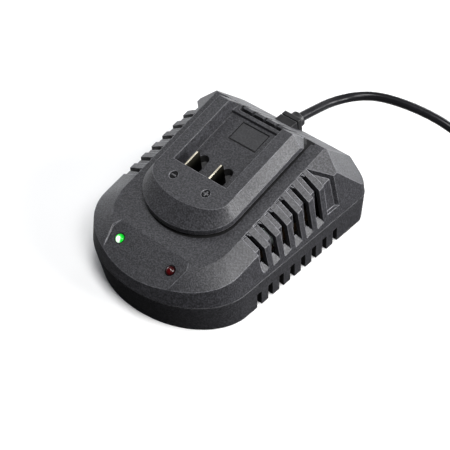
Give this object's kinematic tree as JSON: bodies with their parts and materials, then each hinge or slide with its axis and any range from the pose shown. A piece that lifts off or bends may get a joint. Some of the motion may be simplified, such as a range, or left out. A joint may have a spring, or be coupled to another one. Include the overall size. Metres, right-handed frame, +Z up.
{
  "type": "power tool battery charger",
  "caption": "Compact charger for slide-on power tool batteries, with a sloping dock, side louvres, two indicator lamps and a mains lead with a two-pin plug.",
  "frame": {"origin": "bottom centre of the housing, on the surface that the feet stand on", "axes": "+X to the right seen from the rounded front, +Y to the rear, where the lead leaves, +Z up"},
  "size_m": [0.2255, 0.1835, 0.0612],
  "materials": {
    "housing": "fine spark-textured charcoal",
    "dark_trim": "satin",
    "contact_brass": "polished edge",
    "lamp_green": "clear, lit",
    "lamp_red": "clear, unlit",
    "cord_rubber": "gloss",
    "foot_rubber": "matt",
    "screw_steel": "zinc plated",
    "pin_metal": "nickel plated",
    "board": "phenolic laminate",
    "ferrite": "matt",
    "tape": "polyester tape",
    "capacitor_sleeve": "heat-shrunk sleeve",
    "sink_aluminium": "extruded",
    "package": "moulded epoxy",
    "fuse_glass": "clear with plated caps",
    "choke_paint": "epoxy coated",
    "film_box": "moulded box",
    "wire": "insulated"
  },
  "bodies": {
    "charger": {"upper_housing": "housing", "lower_housing": "housing", "cover_panel": "housing", "contact_blade_negative": "contact_brass", "contact_blade_positive": "contact_brass", "lamp_green": "lamp_green", "lamp_red": "lamp_red", "lamp_bridge": "dark_trim", "strain_relief": "dark_trim", "rubber_feet": "foot_rubber", "housing_screws": "screw_steel", "circuit_board": "board", "transformer_core": "ferrite", "transformer_winding": "tape", "mains_capacitor": "capacitor_sleeve", "output_capacitors": "capacitor_sleeve", "transistor_heat_sink": "sink_aluminium", "rectifier_heat_sink": "sink_aluminium", "switching_transistor": "package", "output_rectifier": "package", "fuse": "fuse_glass", "choke_core": "choke_paint", "suppression_capacitor": "film_box", "controller_chip": "package", "optocoupler": "package", "contact_carrier": "dark_trim", "cord_clamp": "dark_trim", "mains_wires": "wire", "output_wires": "wire", "mains_cord": "cord_rubber", "mains_cord_coil": "cord_rubber", "mains_cord_tail": "cord_rubber", "plug_body": "cord_rubber", "plug_pins": "pin_metal"}
  },
  "joints": []
}
